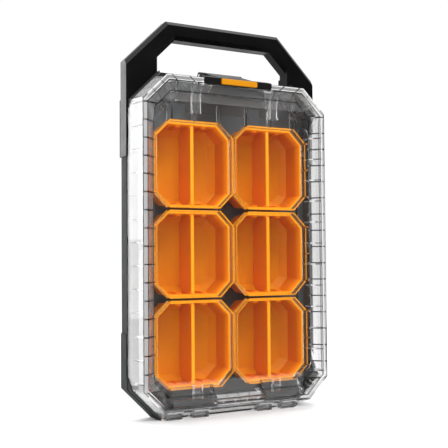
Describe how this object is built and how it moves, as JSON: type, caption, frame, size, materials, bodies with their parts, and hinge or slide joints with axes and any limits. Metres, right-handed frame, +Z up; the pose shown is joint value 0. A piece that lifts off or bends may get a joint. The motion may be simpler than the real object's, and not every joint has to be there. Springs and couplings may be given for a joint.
{
  "type": "parts organizer case",
  "caption": "Slim eight-sided parts organizer standing on its hinge edge, with a ribbed clear lid, a top latch, a carry handle and lift-out divided bins.",
  "frame": {"origin": "middle of the overall box at its bottom, on the surface the case stands on", "axes": "+X to the right for someone facing the lid, -Y out of the lid, +Z up towards the handle"},
  "size_m": [0.265, 0.0686, 0.479],
  "materials": {
    "base_grey": "fine moulded grain",
    "handle_black": "fine moulded grain",
    "lid_clear": "clear, polished",
    "bin_orange": "satin moulded",
    "divider_orange": "satin moulded",
    "latch_black": "satin moulded",
    "pull_orange": "satin moulded",
    "steel": "zinc plated",
    "seal_rubber": "matt"
  },
  "bodies": {
    "base": {"base_tray": "base_grey", "carry_handle": "handle_black", "handle_screws": "steel", "lid_seal": "seal_rubber", "hinge_pin_left": "steel", "hinge_pin_right": "steel", "latch_pin": "steel", "bin_top_left": "bin_orange", "bin_top_right": "bin_orange", "bin_middle_left": "bin_orange", "bin_middle_right": "bin_orange", "bin_bottom_left": "bin_orange", "bin_bottom_right": "bin_orange", "divider_top_left": "divider_orange", "divider_top_right": "divider_orange", "divider_middle_left": "divider_orange", "divider_middle_right": "divider_orange", "divider_bottom_left": "divider_orange", "divider_bottom_right": "divider_orange"},
    "lid": {"lid": "lid_clear"},
    "latch": {"latch_lever": "latch_black", "latch_pull": "pull_orange"}
  },
  "joints": [
    {"name": "lid_hinge", "type": "hinge", "parent": "base", "child": "lid", "pos_m": [0, 0.0042, 0.0046], "axis": [1, 0, 0], "range_deg": [0, 110]},
    {"name": "latch_pivot", "type": "hinge", "parent": "base", "child": "latch", "pos_m": [0, 0.0187, 0.4193], "axis": [-1, 0, 0], "range_deg": [0, 70]}
  ]
}
